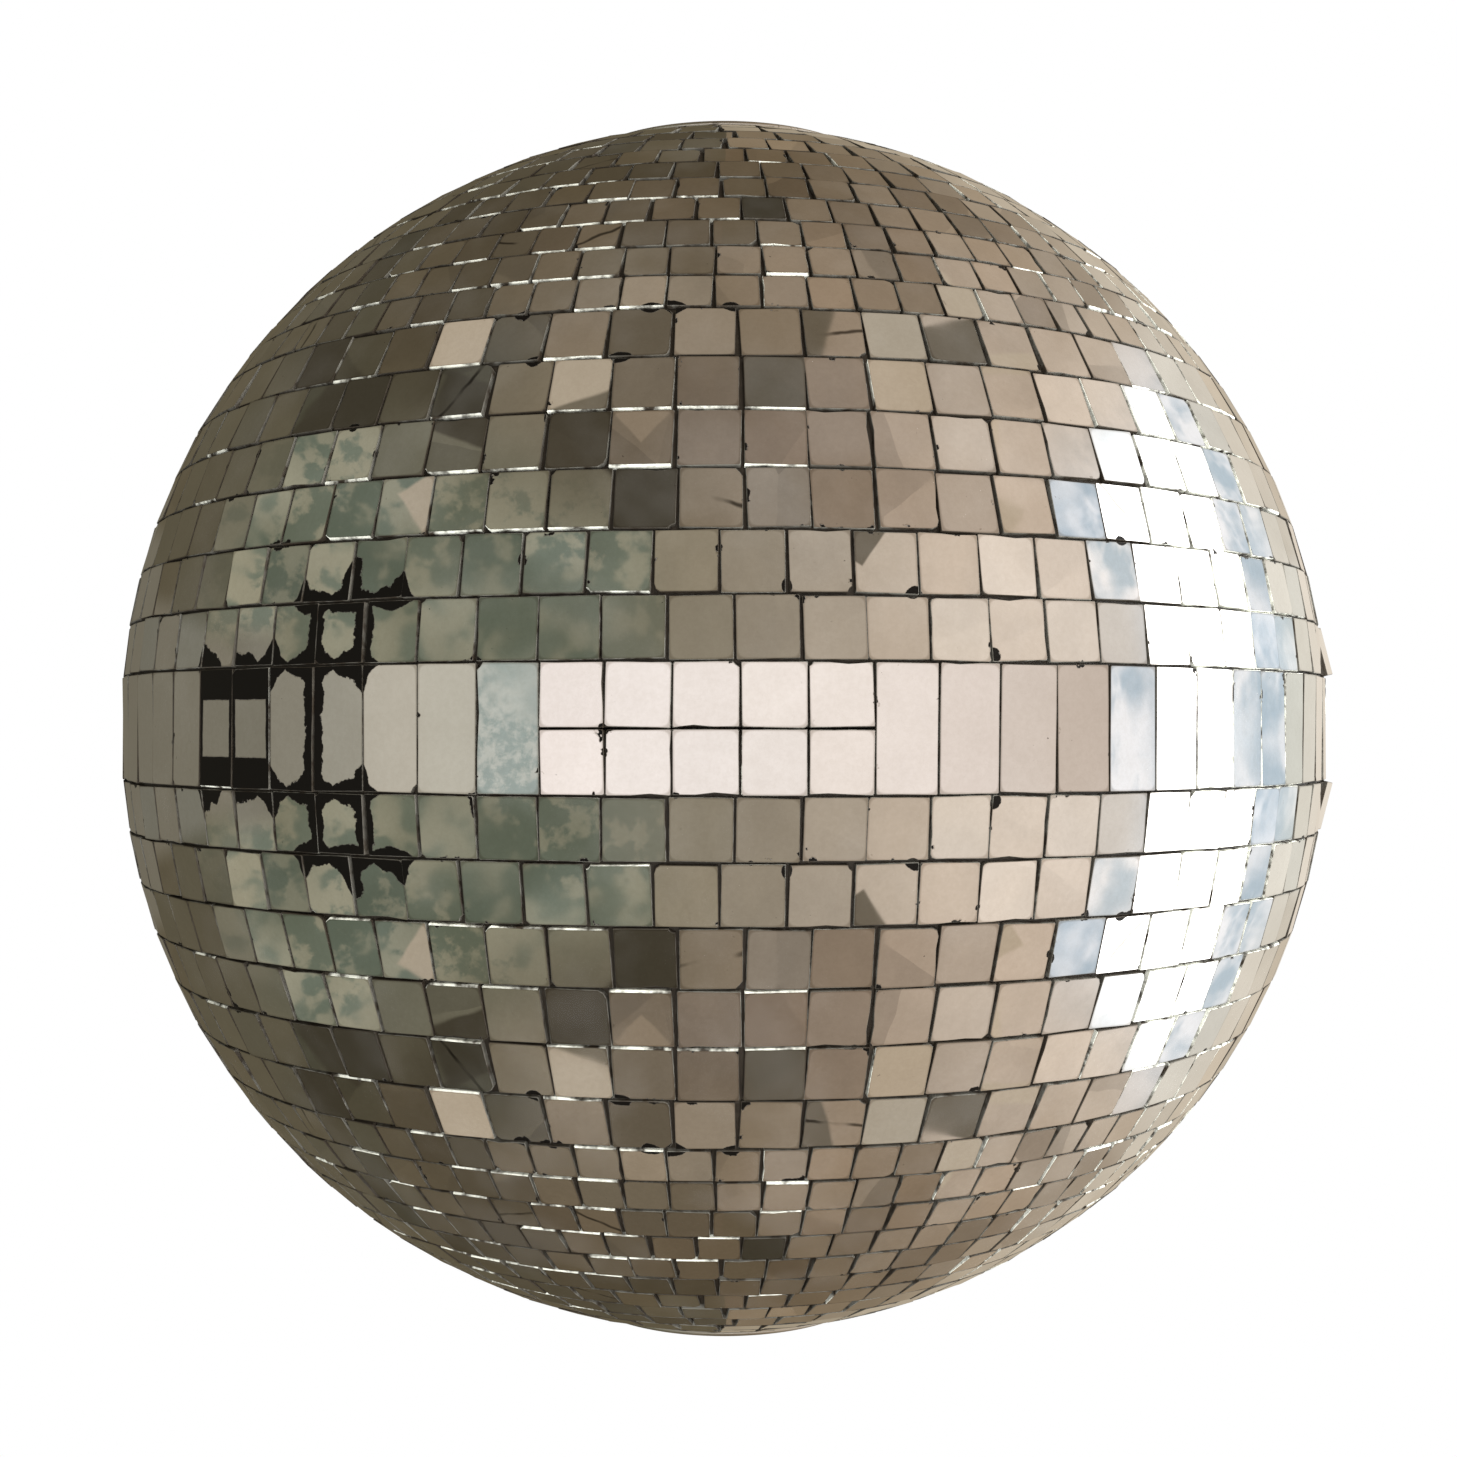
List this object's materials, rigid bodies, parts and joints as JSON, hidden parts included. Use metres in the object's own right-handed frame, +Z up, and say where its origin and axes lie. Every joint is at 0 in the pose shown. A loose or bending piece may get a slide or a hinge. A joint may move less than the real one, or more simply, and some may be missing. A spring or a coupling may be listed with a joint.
{
  "type": "mirror ball",
  "caption": "Round mirror ball: flat mirror tiles in level rows on a hollow core, spinning on a bearing and swivel stem under a folding hanging ring.",
  "frame": {"origin": "centre of the eye at the top of the swivel stem, where the ball hangs, 257.2 mm above the ball's centre", "axes": "+Z up along the spin axis, +Y towards the side where the hanging ring lies folded"},
  "size_m": [0.4958, 0.4984, 0.5134],
  "materials": {
    "mirror_tile": "aged silvered glass, slightly hazy, with ground edges",
    "core": "dark filled resin with rubbery tile adhesive",
    "hub_board": "turned plywood",
    "cap_metal": "spun, dulled and scratched",
    "bearing_steel": "turned, lightly oiled",
    "zinc_hardware": "zinc plated, dulled"
  },
  "bodies": {
    "hanger": {"swivel_stem": "zinc_hardware", "bearing_lower_race": "bearing_steel", "stem_castle_nut": "zinc_hardware", "cotter_pin": "zinc_hardware"},
    "ball": {"equator_belt_tiles": "mirror_tile", "upper_large_tile_row_01": "mirror_tile", "upper_large_tile_row_02": "mirror_tile", "upper_large_tile_row_03": "mirror_tile", "upper_large_tile_row_04": "mirror_tile", "upper_large_tile_row_05": "mirror_tile", "upper_large_tile_row_06": "mirror_tile", "upper_small_tile_row_01": "mirror_tile", "upper_small_tile_row_02": "mirror_tile", "upper_small_tile_row_03": "mirror_tile", "upper_small_tile_row_04": "mirror_tile", "upper_small_tile_row_05": "mirror_tile", "upper_small_tile_row_06": "mirror_tile", "upper_small_tile_row_07": "mirror_tile", "upper_small_tile_row_08": "mirror_tile", "upper_small_tile_row_09": "mirror_tile", "upper_small_tile_row_10": "mirror_tile", "upper_small_tile_row_11": "mirror_tile", "upper_polar_tile_rows": "mirror_tile", "lower_large_tile_row_01": "mirror_tile", "lower_large_tile_row_02": "mirror_tile", "lower_large_tile_row_03": "mirror_tile", "lower_large_tile_row_04": "mirror_tile", "lower_large_tile_row_05": "mirror_tile", "lower_large_tile_row_06": "mirror_tile", "lower_small_tile_row_01": "mirror_tile", "lower_small_tile_row_02": "mirror_tile", "lower_small_tile_row_03": "mirror_tile", "lower_small_tile_row_04": "mirror_tile", "lower_small_tile_row_05": "mirror_tile", "lower_small_tile_row_06": "mirror_tile", "lower_small_tile_row_07": "mirror_tile", "lower_small_tile_row_08": "mirror_tile", "lower_small_tile_row_09": "mirror_tile", "lower_small_tile_row_10": "mirror_tile", "lower_small_tile_row_11": "mirror_tile", "lower_polar_tile_rows": "mirror_tile", "core_upper_shell": "core", "core_lower_shell": "core", "core_joint_band": "core", "top_hub": "hub_board", "bottom_hub": "hub_board", "tie_rod": "bearing_steel", "bearing_housing": "bearing_steel", "bearing_upper_race": "bearing_steel", "rod_lock_nut": "zinc_hardware", "top_cap": "cap_metal", "bottom_cap": "cap_metal", "bottom_washer": "zinc_hardware", "bottom_nut": "zinc_hardware", "top_cap_screw_1": "zinc_hardware", "top_cap_screw_2": "zinc_hardware", "top_cap_screw_3": "zinc_hardware", "top_cap_screw_4": "zinc_hardware"},
    "bearing_cage": {"bearing_ball_cage": "bearing_steel"},
    "ring": {"hanging_ring": "zinc_hardware"}
  },
  "joints": [
    {"name": "ball_spin", "type": "hinge", "parent": "hanger", "child": "ball", "pos_m": [0, 0, -0.2572], "axis": [0, 0, 1], "continuous": true},
    {"name": "bearing_cage_spin", "type": "hinge", "parent": "hanger", "child": "bearing_cage", "pos_m": [0, 0, -0.2572], "axis": [0, 0, 1], "continuous": true},
    {"name": "ring_fold", "type": "hinge", "parent": "hanger", "child": "ring", "pos_m": [0, 0, 0], "axis": [1, 0, 0], "range_deg": [0, 196]}
  ],
  "couplings": [
    {"joint": "bearing_cage_spin", "follows": "ball_spin", "ratio": 0.5}
  ]
}
